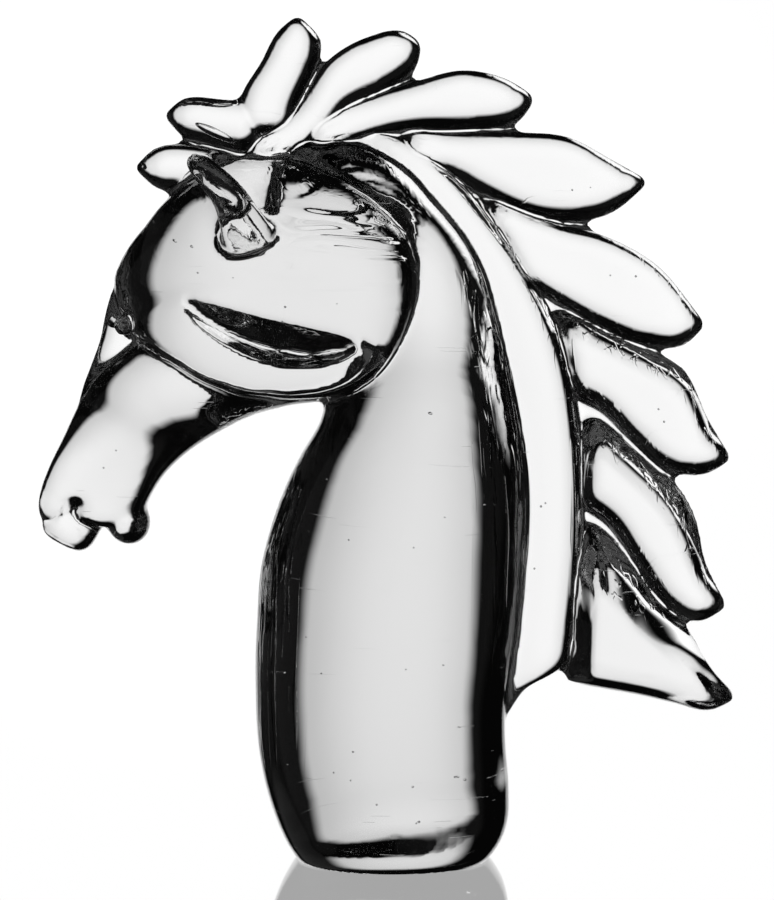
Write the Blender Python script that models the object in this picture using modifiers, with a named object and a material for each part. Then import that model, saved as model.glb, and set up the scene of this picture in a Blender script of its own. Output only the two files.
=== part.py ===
"""Solid crystal horse head, one piece of hot worked glass that stands on the flat foot of its neck.

The nose points to -X, +Z is up and Y runs through the thickness. The left and right sides are alike.
The forms are drawn up one by one as a glassworker adds them: neck, cheek disc, face, lips, brows, ears,
crest and the tooled locks of the mane. They are then melted into one skin, and the foot is ground flat.
"""

import math

import bmesh
import bpy
import numpy as np
from mathutils import Matrix, Vector

MM = 0.001
RING_POINTS = 64          # points round each ring of a drawn form
SIDES = (-1, 1)           # the near side and the far side

# Sizes of the melted skin
FINE_VOXEL = 1.0 * MM     # the first skin, fine enough for the creases
VOXEL = 1.5 * MM          # the even skin that is kept
SOFTENING = 6             # rounds of smoothing on the first skin
SHRINKAGE = 0.3 * MM      # what the softening takes off, given back to the finished skin
TRIANGLES = 9000          # faces kept on the finished solid

# Neck: (front x, front z), (back x, back z), half depth, and the rolls of its front and back, from
# under the foot to the poll. A roll of 2 is an oval, and higher ones are boxier.
NECK = (
    ((-27.0, -5.0), (32.0, -5.0), 34.0, 2.1, 2.2),
    ((-31.0, 1.0), (34.5, 1.0), 34.0, 2.1, 2.2),
    ((-31.8, 2.0), (36.4, 3.0), 37.2, 2.3, 2.4),
    ((-32.8, 3.5), (38.2, 5.6), 39.8, 2.2, 2.4),
    ((-34.4, 6.0), (40.2, 9.0), 41.9, 2.2, 2.4),
    ((-37.0, 11.0), (42.0, 15.0), 42.9, 2.1, 2.5),
    ((-41.0, 22.0), (42.4, 25.0), 42.3, 2.1, 2.5),
    ((-44.7, 40.0), (41.2, 42.0), 41.4, 2.1, 2.6),
    ((-45.7, 62.0), (41.5, 58.0), 40.8, 2.1, 2.5),
    ((-45.3, 82.0), (45.5, 80.0), 40.3, 2.1, 2.3),
    ((-43.6, 103.0), (48.6, 104.0), 40.0, 2.1, 2.1),
    ((-40.1, 117.0), (50.2, 124.0), 39.0, 2.1, 2.0),
    ((-35.4, 130.0), (50.2, 137.0), 37.5, 2.2, 1.9),
    ((-29.6, 142.0), (48.6, 152.0), 35.0, 2.4, 1.85),
    ((-23.0, 153.5), (46.4, 166.0), 32.0, 2.4, 1.8),
    ((-20.5, 164.0), (44.5, 178.0), 28.5, 2.2, 1.8),
    ((-18.0, 175.0), (42.0, 191.5), 25.5, 2.2, 1.8),
    ((-15.0, 186.5), (37.5, 206.5), 23.5, 2.2, 1.8),
    ((-13.0, 197.5), (30.0, 219.0), 22.0, 2.2, 1.8),
    ((-15.0, 207.0), (20.0, 230.0), 20.5, 2.2, 1.8),
    ((-20.0, 217.0), (8.5, 240.5), 19.0, 2.2, 1.9),
    ((-27.0, 227.0), (-7.0, 247.5), 16.0, 2.1, 2.0),
    ((-40.0, 232.0), (-28.0, 250.0), 10.0, 2.1, 2.1),
)

# Face: upper line, jaw line, half depth, and the rolls of the nose and the jaw, from inside the
# skull to the lips
FACE = (
    ((-60.0, 214.0), (-20.0, 192.0), 8.0, 2.1, 2.1),
    ((-70.0, 204.0), (-18.0, 174.0), 15.0, 2.1, 2.1),
    ((-78.0, 193.0), (-21.0, 161.0), 20.5, 2.0, 2.1),
    ((-84.0, 184.0), (-33.0, 158.6), 25.5, 2.0, 2.3),
    ((-92.0, 176.0), (-46.0, 155.2), 26.5, 2.0, 2.3),
    ((-101.0, 168.0), (-58.0, 149.3), 24.5, 2.1, 2.0),
    ((-107.2, 157.5), (-68.8, 142.4), 21.0, 2.0, 2.3),
    ((-112.0, 147.0), (-76.6, 135.0), 18.5, 2.8, 3.4),
    ((-116.4, 137.5), (-81.2, 128.0), 16.5, 4.5, 4.5),
    ((-119.3, 129.5), (-83.9, 122.6), 15.0, 5.0, 4.5),
    ((-120.2, 124.0), (-86.2, 119.0), 14.0, 5.0, 4.5),
    ((-119.6, 120.5), (-88.5, 117.2), 13.0, 4.5, 4.0),
    ((-117.0, 118.8), (-92.0, 116.8), 11.5, 4.0, 4.0),
)

# Nose bridge: the narrow keel between the eyes, outer line, inner line, half depth
BRIDGE = (
    ((-86.0, 210.0), (-74.0, 204.0), 4.0),
    ((-94.6, 198.5), (-78.0, 193.0), 5.0),
    ((-97.2, 190.0), (-80.0, 184.5), 8.0),
    ((-98.8, 182.0), (-84.0, 178.0), 8.0),
    ((-101.8, 173.5), (-90.0, 170.0), 7.0),
    ((-105.2, 164.5), (-97.0, 162.0), 5.0),
    ((-107.0, 158.0), (-101.0, 157.0), 3.0),
)
BRIDGE_ROLL = (2.6, 2.6)

# Cheek disc, seen from the side: degrees round the rim, reach from the centre, squareness
CHEEK_CENTRE = (-38.0, 203.0)
CHEEK_HALF_DEPTH = 33.0
RIM_BLEND = 17                # points of the rim over which its squareness is evened out
CHEEK_RIM = (
    (-180, 56.0, 2.2), (-170, 56.0, 2.2), (-155, 51.6, 3.2), (-139, 45.2, 8.0), (-116, 41.2, 13.0),
    (-93, 40.6, 13.0), (-76, 42.5, 12.0), (-60, 45.6, 9.5), (-41, 48.8, 7.0), (-22, 49.0, 5.4),
    (-8, 49.4, 4.6), (13, 48.6, 3.8), (30, 47.0, 2.8), (63, 41.8, 2.2), (90, 41.0, 2.1),
    (107, 42.0, 2.1), (125, 43.6, 2.4), (144, 45.8, 2.9), (159, 48.2, 2.8), (170, 52.4, 2.4),
    (180, 56.0, 2.2),
)

# Crest: inner edge, outer edge, half depth, from the poll down to the foot of the mane
CREST = (
    ((-14.0, 249.5), (-12.0, 253.5), 4.0),
    ((-1.0, 244.5), (2.0, 250.0), 8.0),
    ((9.0, 234.5), (14.5, 243.0), 10.0),
    ((15.0, 226.6), (24.3, 234.6), 11.0),
    ((21.0, 216.8), (33.6, 223.6), 12.0),
    ((27.6, 203.0), (43.6, 210.4), 12.5),
    ((32.2, 188.9), (51.6, 197.0), 13.0),
    ((36.4, 169.8), (60.4, 176.0), 13.5),
    ((38.6, 151.4), (64.6, 155.6), 14.0),
    ((39.0, 130.2), (66.4, 131.0), 14.0),
    ((37.6, 109.5), (66.2, 107.3), 14.0),
    ((35.0, 89.0), (64.2, 83.5), 14.0),
    ((34.5, 74.0), (62.0, 69.5), 13.0),
    ((36.0, 62.5), (57.0, 65.5), 11.5),
    ((36.0, 53.0), (49.0, 61.5), 9.0),
    ((36.0, 45.0), (41.5, 50.5), 4.0),
)
CREST_ROLL = (4.5, 3.2)

# Locks of the mane: upper edge and lower edge, each from the root out to the tip
LOCKS = {
    "forelock_low": (((-46, 243.5), (-64, 247.8), (-79.5, 247.2), (-87.2, 240.2)),
                     ((-46, 229), (-66, 231.5), (-79, 233), (-87.2, 240.2))),
    "forelock_high": (((-41, 262.5), (-56, 263.8), (-70, 264), (-77, 258.2)),
                      ((-38, 244), (-56, 245.6), (-70, 250.6), (-77, 258.2))),
    "poll_left": (((-51.5, 247), (-49.8, 266), (-43.6, 276), (-37.5, 287), (-30.4, 292.8)),
                  ((-33, 247), (-29.5, 262), (-24.6, 273), (-22.3, 283), (-30.4, 292.8))),
    "poll_right": (((-52, 243), (-31, 260.5), (-20, 277.5), (-6, 285.4), (5, 287.4), (12.4, 282.8)),
                   ((-49, 240), (-26, 249), (-11, 260.5), (1, 266.6), (9.4, 273), (12.4, 282.8))),
    "crown": (((-33, 250), (-10, 263), (10, 270), (26, 273.8), (41, 270.8), (51.6, 264.2)),
              ((-29, 246), (-8, 251), (13, 252), (32, 252.6), (44.5, 255.2), (51.6, 264.2))),
    "nape_1": (((-2, 252.5), (18, 252.4), (44, 252.6), (62, 251), (78, 242.8), (90.8, 235.6)),
               ((5, 247.5), (20, 239), (34, 230), (54, 221.8), (77, 224.4), (90.8, 235.6))),
    "nape_2": (((26, 233.5), (45, 226), (58, 221.4), (75, 217), (91, 208.6), (110.4, 186.4)),
               ((46, 202.5), (60, 193.8), (74, 185.2), (88, 179.4), (102, 178.8), (110.4, 186.4))),
    "nape_3": (((53, 196), (74, 186), (89, 179), (102, 171.8), (111.2, 154), (119.6, 139.8)),
               ((60, 163.5), (74, 158), (85, 146.4), (96, 136.4), (109, 134.2), (119.6, 139.8))),
    "nape_4": (((66, 161), (84, 147.4), (97, 136), (106.8, 121), (110.8, 104), (118.4, 88.6)),
               ((63, 127), (77, 118), (86, 104.4), (97, 89.2), (107.5, 83.2), (118.4, 88.6))),
    "foot": (((63, 126), (80, 113), (92, 97), (105, 80.6), (113, 67), (121.8, 57.2)),
             ((62, 62.5), (75, 60.2), (87, 58), (99, 55.2), (112, 52.4), (121.8, 57.2))),
}
LOCK_HALF_DEPTH = 10.0
LOCK_THINNING = 0.2
LOCK_RAMP = 9.0
LOCK_UPPER_RIM = (7.0, 2.0)
LOCK_LOWER_RIM = (9.0, 2.0)
# Thick locks whose upper rim is a wide slant: width and roundness of the rim, and half depth
SLANTED = {"nape_3": (10.5, 1.3, 12.0), "nape_4": (15.0, 1.15, 13.5), "foot": (23.0, 1.05, 19.5)}

# Web: the thin sheet that carries the locks, from the crest side to the outer side
WEB = (
    ((-70, 239), (-66, 249)),
    ((-58, 236), (-52, 254)),
    ((-45, 238), (-42, 262)),
    ((-25, 238), (-22, 270)),
    ((0, 238), (8, 267)),
    ((20, 228), (43, 251)),
    ((38, 206), (71, 218.5)),
    ((52, 176), (94.5, 177)),
    ((58, 150), (99.5, 134.5)),
    ((60, 120), (102.5, 85)),
    ((58, 90), (100, 66)),
    ((56, 68), (76, 60)),
)
WEB_HALF_DEPTH = 2.2
WEB_ROLL = (4.0, 4.0)

# Beads of glass: (centre x, distance from the middle, z), three radii, tilt in degrees
BROW = ((-86.0, 12.0, 197.0), (4.5, 6.0, 8.0), 20.0)
EYE = ((-89.3, 18.0, 186.6), (3.6, 4.0, 3.6), 0.0)
LOWER_LIP = ((-89.6, 0.0, 118.6), (7.6, 14.0, 8.4), -20.0)

# Upper lip: a squared block, given as centre, half length, half depth, half height and tilt
UPPER_LIP = ((-108.8, 118.0), (9.8, 12.5, 8.4), 28.0)
UPPER_LIP_ROLL = 3.2

# Ear: a pulled point, given as centre (x, distance from the middle, z), width and depth
EAR = (
    ((-45.5, 22.0, 213.0), 8.5, 6.0),
    ((-46.5, 31.0, 217.0), 8.5, 6.0),
    ((-48.5, 37.0, 223.5), 7.0, 5.6),
    ((-53.0, 40.5, 230.5), 5.4, 4.8),
    ((-58.5, 43.0, 236.0), 4.6, 4.2),
    ((-62.5, 44.5, 240.0), 4.0, 3.8),
    ((-65.5, 45.5, 242.5), 1.8, 1.8),
)

EAR_FOLD = 0.16           # height of the three twisted folds, as a share of the width
EAR_TWIST = 7.0           # turn of the folds from root to tip, in radians

# Pressed hollow in each cheek: a curved groove with steep walls, deepest at one place. It runs
# from the left tip to the right one, and its middle line falls and rises again between them.
HOLLOW_TIPS = (-69.0, -10.0)  # x of the two tips
HOLLOW_TOP = 194.8            # height of the middle line at the left tip
HOLLOW_FALL = (-36.5, 22.0)   # how far that line falls over the length, and rises again
HOLLOW_HALF = 7.3             # half width
HOLLOW_WALL = 2.2             # depth of the crease for each unit of half width
HOLLOW_CREASE = -0.55         # where the crease runs, from -1 at the lower edge to 1 at the upper
HOLLOW_DEEPEST = 0.63         # share of the length at which it is deepest
HOLLOW_EXTRA = 5.0            # how much deeper it is there
HOLLOW_SHORTER = 0.14         # share of the length that the hollow of the +Y cheek lacks at its left

# Smaller marks pressed beside the mouth: centre, half length and half width, tilt in degrees, depth
NOSTRIL = ((-107.6, 123.6), (5.4, 4.6), 40.0, 5.0)
MOUTH_CREASE = ((-104.0, 118.0), (11.0, 2.6), -27.0, 3.2)

# How far the foot is ground back
GRINDING = 1.6


def clear_scene():
    for old in list(bpy.data.objects):
        bpy.data.objects.remove(old, do_unlink=True)


def collection(name):
    made = bpy.data.collections.new(name)
    bpy.context.scene.collection.children.link(made)
    return made


def smooth_rows(rows, count):
    """Rows of numbers spread evenly along a smooth curve through the rows given."""
    rows = np.array(rows, dtype=float)
    gaps = np.linalg.norm(np.diff(rows, axis=0), axis=1)
    at = np.concatenate(([0.0], np.cumsum(gaps)))
    slope = np.gradient(rows, at, axis=0)
    where = np.linspace(0.0, at[-1], count)
    seg = np.clip(np.searchsorted(at, where, side="right") - 1, 0, len(at) - 2)
    wide = (at[seg + 1] - at[seg])[:, None]
    t = ((where - at[seg])[:, None]) / wide
    start, end = rows[seg], rows[seg + 1]
    lift = (2 * t**3 - 3 * t**2 + 1) * start + (3 * t**2 - 2 * t**3) * end
    lean = (t**3 - 2 * t**2 + t) * slope[seg] + (t**3 - t**2) * slope[seg + 1]
    return lift + wide * lean


def ring(centre, across, deep, first_roll=2.0, last_roll=2.0):
    """Points round one section: an oval when both rolls are 2, and boxier as they grow.

    The first roll is for the half that lies against the way across, the last roll for the other.
    """
    turn = np.linspace(0.0, 2 * math.pi, RING_POINTS, endpoint=False)
    c, s = np.cos(turn), np.sin(turn)
    roll = np.where(c > 0, last_roll, first_roll)
    wide = np.copysign(abs(c) ** (2 / roll), c)
    high = np.copysign(abs(s) ** (2 / roll), s)
    return (np.array(centre) + np.outer(wide, across) + np.outer(high, deep)) * MM


def lofted(name, rings, home):
    """A closed solid bridged from ring to ring, with both ends filled."""
    bm = bmesh.new()
    skin = [[bm.verts.new(p) for p in points] for points in rings]
    count = len(rings[0])
    for low, high in zip(skin, skin[1:]):
        for i in range(count):
            j = (i + 1) % count
            bm.faces.new((low[i], low[j], high[j], high[i]))
    bm.faces.new(skin[0][::-1])
    bm.faces.new(skin[-1])
    bmesh.ops.recalc_face_normals(bm, faces=bm.faces)
    mesh = bpy.data.meshes.new(name)
    bm.to_mesh(mesh)
    bm.free()
    made = bpy.data.objects.new(name, mesh)
    home.objects.link(made)
    return made


def between_edges(name, rows, count, home, rolls=()):
    """A form whose sections run from one edge line in the middle plane to the other."""
    flat = [(*a, *b, *rest, *rolls) for a, b, *rest in rows]
    rings = []
    for ax, az, bx, bz, deep, first_roll, last_roll in smooth_rows(flat, count):
        centre = ((ax + bx) / 2, 0, (az + bz) / 2)
        across = ((bx - ax) / 2, 0, (bz - az) / 2)
        rings.append(ring(centre, across, (0, deep, 0), first_roll, last_roll))
    return lofted(name, rings, home)


def rim(width, half, deep, roundness):
    """Quarter of a flat section: across and out, from the edge up the rim to the middle."""
    width = min(width, half)
    climb = np.linspace(0, 1, 12, endpoint=False) ** 1.3
    out = (1 - (1 - climb) ** roundness) ** (1 / roundness)
    flat = np.linspace(width, half, 4, endpoint=False)
    across = half - np.concatenate((climb * width, flat))
    return across, deep * np.concatenate((out, np.ones(4)))


def flat_ring(centre, across, deep, upper_rim, lower_rim):
    """Points round a flat section with rolled edges. Each rim has a width and a roundness."""
    half = float(np.linalg.norm(across))
    unit = np.array(across) / max(half, 1e-6)
    x1, y1 = rim(lower_rim[0], half, deep, lower_rim[1])
    x2, y2 = rim(upper_rim[0], half, deep, upper_rim[1])
    wide = np.concatenate((x1, -np.append(x2, 0)[:0:-1], -x2, np.append(x1, 0)[:0:-1]))
    high = np.concatenate((y1, np.append(y2, deep)[:0:-1], -y2, -np.append(y1, deep)[:0:-1]))
    return (np.array(centre) + np.outer(wide, unit) + np.outer(high, (0, 1, 0))) * MM


def lock(name, upper, lower, home):
    """One lock of the mane: a flat paddle with rolled edges that thins to a round tip."""
    count = 40
    top = smooth_rows(upper, count)
    low = smooth_rows(lower, count)
    middle = (top + low) / 2
    run = np.concatenate(([0], np.cumsum(np.linalg.norm(np.diff(middle, axis=0), axis=1))))
    *upper_rim, half_depth = SLANTED.get(name, (*LOCK_UPPER_RIM, LOCK_HALF_DEPTH))
    rings = []
    for n in range(count - 1):
        t = n / (count - 1)
        swell = min(run[n] / LOCK_RAMP, 1)
        deep = half_depth * (0.1 + 0.9 * swell) * (1 - LOCK_THINNING * t) * math.sqrt(1 - t**7)
        centre = (middle[n][0], 0, middle[n][1])
        across = ((low[n][0] - top[n][0]) / 2, 0, (low[n][1] - top[n][1]) / 2)
        rings.append(flat_ring(centre, across, deep, upper_rim, LOCK_LOWER_RIM))
    return lofted(name, rings, home)


def cheek_disc(home):
    """The flat egg-shaped jowl, with a rolled rim all round."""
    turns = np.linspace(-180, 180, 2 * RING_POINTS, endpoint=False)
    angles, reaches, rolls = zip(*CHEEK_RIM)
    reach = np.interp(turns, angles, reaches)
    roll = np.interp(turns, angles, rolls)
    blend = np.hanning(RIM_BLEND) / np.hanning(RIM_BLEND).sum()
    roll = np.convolve(np.tile(roll, 3), blend, "same")[len(turns):-len(turns)]
    rings = []
    layers = 40
    for layer in range(1, layers):
        lean = math.pi * (layer / layers - 0.5)
        size = reach * math.cos(lean) ** (2 / roll)
        out = math.copysign(1, lean) * abs(math.sin(lean)) ** (2 / roll) * CHEEK_HALF_DEPTH
        x = CHEEK_CENTRE[0] + size * np.cos(np.radians(turns))
        z = CHEEK_CENTRE[1] + size * np.sin(np.radians(turns))
        rings.append(np.stack((x, out, z), axis=1) * MM)
    return lofted("cheek_disc", rings, home)


def bead(name, shape, side, home):
    """A rounded bead of glass with three radii, tilted in the side view."""
    (x, out, z), radii, tilt = shape
    bm = bmesh.new()
    bmesh.ops.create_uvsphere(bm, u_segments=32, v_segments=20, radius=1.0)
    size = Matrix.Diagonal((*[r * MM for r in radii], 1.0))
    turn = Matrix.Rotation(math.radians(tilt), 4, "Y")
    place = Matrix.Translation(Vector((x, side * out, z)) * MM)
    bmesh.ops.transform(bm, matrix=place @ turn @ size, verts=bm.verts)
    mesh = bpy.data.meshes.new(name)
    bm.to_mesh(mesh)
    bm.free()
    made = bpy.data.objects.new(name, mesh)
    home.objects.link(made)
    return made


def lip_block(home):
    """The squared block of the upper lip, drawn through the thickness."""
    (x, z), (long, deep, high), tilt = UPPER_LIP
    lean = math.radians(tilt)
    rings = []
    for out in np.sin(np.linspace(-1.5, 1.5, 24)):
        size = (1 - abs(out) ** UPPER_LIP_ROLL) ** (1 / UPPER_LIP_ROLL)
        across = size * long * np.array((math.cos(lean), 0, -math.sin(lean)))
        up = size * high * np.array((math.sin(lean), 0, math.cos(lean)))
        rings.append(ring((x, out * deep, z), across, up, UPPER_LIP_ROLL, UPPER_LIP_ROLL))
    return lofted("upper_lip", rings, home)


def ear(side, home):
    """A horn-like ear pulled out and forward from the poll, twisted while it was hot."""
    flat = [(x, side * out, z, wide, deep) for (x, out, z), wide, deep in EAR]
    rows = smooth_rows(flat, 36)
    path = np.gradient(rows[:, :3], axis=0)
    turn = np.linspace(0.0, 2 * math.pi, RING_POINTS, endpoint=False)
    rings = []
    for n, (row, way) in enumerate(zip(rows, path)):
        along = Vector(way).normalized()
        deep = along.cross(Vector((1, 0, 0.3)).normalized()).normalized()
        across = deep.cross(along).normalized()
        points = ring(row[:3], across * row[3], deep * row[4])
        fold = 1 + EAR_FOLD * min(n / 12, 1) * np.cos(3 * turn - side * EAR_TWIST * n / len(rows))
        middle = points.mean(axis=0)
        rings.append(middle + (points - middle) * fold[:, None])
    return lofted("ear", rings, home)


def melted(name, parts, voxel, rounds, home):
    """The parts joined under one even skin and softened."""
    bm = bmesh.new()
    for part in parts:
        bm.from_mesh(part.data)
    mesh = bpy.data.meshes.new(name)
    bm.to_mesh(mesh)
    bm.free()
    made = bpy.data.objects.new(name, mesh)
    home.objects.link(made)
    skin = made.modifiers.new("Skin", "REMESH")
    skin.mode = "VOXEL"
    skin.voxel_size = voxel
    soft = made.modifiers.new("Soften", "SMOOTH")
    soft.factor = 0.5
    soft.iterations = rounds
    fixed(made)
    return made


def fixed(made):
    """Keep the result of an object's modifiers as its own mesh."""
    graph = bpy.context.evaluated_depsgraph_get()
    result = bpy.data.meshes.new_from_object(made.evaluated_get(graph))
    made.modifiers.clear()
    made.data = result


def pit(points, centre, half, tilt, depth):
    """How deep an oval pit is at each point, in millimetres, seen from the side."""
    lean = math.radians(tilt)
    dx = points[:, 0] / MM - centre[0]
    dz = points[:, 2] / MM - centre[1]
    along = (dx * math.cos(lean) + dz * math.sin(lean)) / half[0]
    up = (dz * math.cos(lean) - dx * math.sin(lean)) / half[1]
    return np.clip(1 - np.hypot(along, up), 0.0, 1.0) * depth


def groove(points):
    """How deep the curved groove of the cheek is at each point, in millimetres."""
    left, right = HOLLOW_TIPS
    t = np.clip((points[:, 0] / MM - left) / (right - left), 0.0, 1.0)
    middle = HOLLOW_TOP + HOLLOW_FALL[0] * t + HOLLOW_FALL[1] * t**2
    start = np.where(points[:, 1] > 0, HOLLOW_SHORTER, 0.0)
    half = HOLLOW_HALF * np.sqrt(4 * np.clip(t - start, 0.0, 1.0) * (1 - t))
    up = (points[:, 2] / MM - middle) / np.maximum(half, 1e-6)
    wall = np.clip(np.minimum((1 - up) / (1 - HOLLOW_CREASE), (1 + up) / (1 + HOLLOW_CREASE)), 0.0, 1.0)
    tent = np.minimum(t / HOLLOW_DEEPEST, (1 - t) / (1 - HOLLOW_DEEPEST))
    return (HOLLOW_WALL * half + HOLLOW_EXTRA * tent) * wall


def press_cheeks(made):
    """Sink the groove into each cheek, and the marks beside the mouth."""
    mesh = made.data
    points = np.empty(len(mesh.vertices) * 3)
    mesh.vertices.foreach_get("co", points)
    points = points.reshape(-1, 3)
    sink = groove(points) * MM
    points[:, 1] -= np.sign(points[:, 1]) * sink * (abs(points[:, 1]) > 10 * MM)
    for mark in (NOSTRIL, MOUTH_CREASE):
        sink = pit(points, *mark) * MM
        points[:, 1] -= np.sign(points[:, 1]) * sink * (abs(points[:, 1]) > 6 * MM)
    mesh.vertices.foreach_set("co", points.ravel())
    mesh.update()


def swell(made, out):
    """Move the whole skin outwards by an even distance."""
    bm = bmesh.new()
    bm.from_mesh(made.data)
    bm.normal_update()
    for vert in bm.verts:
        vert.co += vert.normal * out
    bm.to_mesh(made.data)
    bm.free()


def ground_flat(made):
    """Grind the foot back level, and set it down at height 0."""
    bm = bmesh.new()
    bm.from_mesh(made.data)
    level = GRINDING * MM
    geometry = bm.verts[:] + bm.edges[:] + bm.faces[:]
    bmesh.ops.bisect_plane(bm, geom=geometry, plane_co=(0, 0, level), plane_no=(0, 0, -1),
                           clear_outer=True)
    edge_loop = [edge for edge in bm.edges if edge.is_boundary]
    bmesh.ops.holes_fill(bm, edges=edge_loop, sides=0)
    bmesh.ops.translate(bm, verts=bm.verts, vec=(0, 0, -level))
    bmesh.ops.recalc_face_normals(bm, faces=bm.faces)
    bm.to_mesh(made.data)
    bm.free()


def crystal():
    glass = bpy.data.materials.new("clear_crystal")
    glass.use_nodes = True
    shader = glass.node_tree.nodes["Principled BSDF"]
    shader.inputs["Base Color"].default_value = (0.97, 0.97, 0.97, 1)
    shader.inputs["Roughness"].default_value = 0.0
    shader.inputs["Metallic"].default_value = 0.0
    shader.inputs["IOR"].default_value = 1.5
    shader.inputs["Transmission Weight"].default_value = 1.0
    return glass


def horse_head(home, bench):
    web = [(a, b, WEB_HALF_DEPTH) for a, b in WEB]
    forms = [
        between_edges("neck", NECK, 150, bench),
        between_edges("face", FACE, 110, bench),
        between_edges("bridge", BRIDGE, 70, bench, BRIDGE_ROLL),
        cheek_disc(bench),
        lip_block(bench),
        bead("lower_lip", LOWER_LIP, 0, bench),
        between_edges("crest", CREST, 160, bench, CREST_ROLL),
        between_edges("web", web, 140, bench, WEB_ROLL),
    ]
    for name, (upper, lower) in LOCKS.items():
        forms.append(lock(name, upper, lower, bench))
    for side in SIDES:
        forms.append(bead("brow", BROW, side, bench))
    body = melted("body", forms, FINE_VOXEL, SOFTENING, bench)
    press_cheeks(body)
    added = [body]
    for side in SIDES:
        added.append(ear(side, bench))
        added.append(bead("eye", EYE, side, bench))
    made = melted("horse_head", added, VOXEL, 3, home)
    swell(made, SHRINKAGE)
    thin = made.modifiers.new("Facets", "DECIMATE")
    thin.ratio = TRIANGLES / sum(len(face.vertices) - 2 for face in made.data.polygons)
    fixed(made)
    ground_flat(made)
    made.data.materials.clear()
    made.data.materials.append(crystal())
    return made


def main():
    clear_scene()
    home = collection("crystal_horse_head")
    bench = collection("bench")
    horse_head(home, bench)
    for drawn in list(bench.objects):
        bpy.data.objects.remove(drawn, do_unlink=True)


main()
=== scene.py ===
"""Solid crystal horse head in hot worked glass, standing on a glossy white table in a soft studio.

The nose points to -X, +Z is up and Y runs through the thickness. Each form is pulled out ring by ring
from a disc, as a glassworker draws it out of the gather, and all of them are melted into one skin.
"""

import math

import bmesh
import bpy
import numpy as np
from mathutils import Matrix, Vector


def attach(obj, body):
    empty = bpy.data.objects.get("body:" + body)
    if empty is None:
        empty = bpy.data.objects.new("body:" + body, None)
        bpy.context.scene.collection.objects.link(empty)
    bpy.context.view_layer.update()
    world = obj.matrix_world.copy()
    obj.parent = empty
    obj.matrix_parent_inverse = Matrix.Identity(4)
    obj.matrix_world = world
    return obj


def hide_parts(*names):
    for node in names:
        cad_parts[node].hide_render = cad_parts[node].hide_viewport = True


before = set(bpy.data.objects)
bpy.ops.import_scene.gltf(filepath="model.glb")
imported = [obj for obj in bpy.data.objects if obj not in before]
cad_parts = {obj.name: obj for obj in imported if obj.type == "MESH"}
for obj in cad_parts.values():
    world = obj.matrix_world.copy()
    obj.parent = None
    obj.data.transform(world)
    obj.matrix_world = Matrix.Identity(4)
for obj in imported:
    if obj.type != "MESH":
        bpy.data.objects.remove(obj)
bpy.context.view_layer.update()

MM = 0.001
RING_POINTS = 64          # points round each ring of a drawn form
SIDES = (-1, 1)           # the near side and the far side

# Sizes of the melted skin, and the rounds of smoothing that it gets
FINE_VOXEL = 0.8 * MM     # the first skin, fine enough for the creases
SOFTENING = 6
VOXEL = 1.34 * MM         # the even skin that is kept
LAST_SOFTENING = 3

# Neck: (front x, front z), (back x, back z), half depth, and the rolls of its front and back, from
# under the foot to the poll. A roll of 2 is an oval, and higher ones are boxier.
NECK = (
    ((-27.0, -5.0), (32.0, -5.0), 34.0, 2.1, 2.2),
    ((-31.0, 1.0), (34.5, 1.0), 34.0, 2.1, 2.2),
    ((-31.8, 2.0), (36.4, 3.0), 37.2, 2.3, 2.4),
    ((-32.8, 3.5), (38.2, 5.6), 39.8, 2.2, 2.4),
    ((-34.4, 6.0), (40.2, 9.0), 41.9, 2.2, 2.4),
    ((-37.0, 11.0), (42.0, 15.0), 42.9, 2.1, 2.5),
    ((-41.0, 22.0), (42.4, 25.0), 42.3, 2.1, 2.5),
    ((-44.7, 40.0), (41.2, 42.0), 41.4, 2.1, 2.6),
    ((-45.7, 62.0), (41.5, 58.0), 40.8, 2.1, 2.5),
    ((-45.3, 82.0), (45.5, 80.0), 40.3, 2.1, 2.3),
    ((-43.6, 103.0), (48.6, 104.0), 40.0, 2.1, 2.1),
    ((-40.1, 117.0), (50.2, 124.0), 39.0, 2.1, 2.0),
    ((-35.4, 130.0), (50.2, 137.0), 37.5, 2.2, 1.9),
    ((-29.6, 142.0), (48.6, 152.0), 35.0, 2.4, 1.85),
    ((-23.0, 153.5), (46.4, 166.0), 32.0, 2.4, 1.8),
    ((-20.5, 164.0), (44.5, 178.0), 28.5, 2.2, 1.8),
    ((-18.0, 175.0), (42.0, 191.5), 25.5, 2.2, 1.8),
    ((-15.0, 186.5), (37.5, 206.5), 23.5, 2.2, 1.8),
    ((-13.0, 197.5), (30.0, 219.0), 22.0, 2.2, 1.8),
    ((-15.0, 207.0), (20.0, 230.0), 20.5, 2.2, 1.8),
    ((-20.0, 217.0), (8.5, 240.5), 19.0, 2.2, 1.9),
    ((-27.0, 227.0), (-7.0, 247.5), 16.0, 2.1, 2.0),
    ((-40.0, 232.0), (-28.0, 250.0), 10.0, 2.1, 2.1),
)

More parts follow.
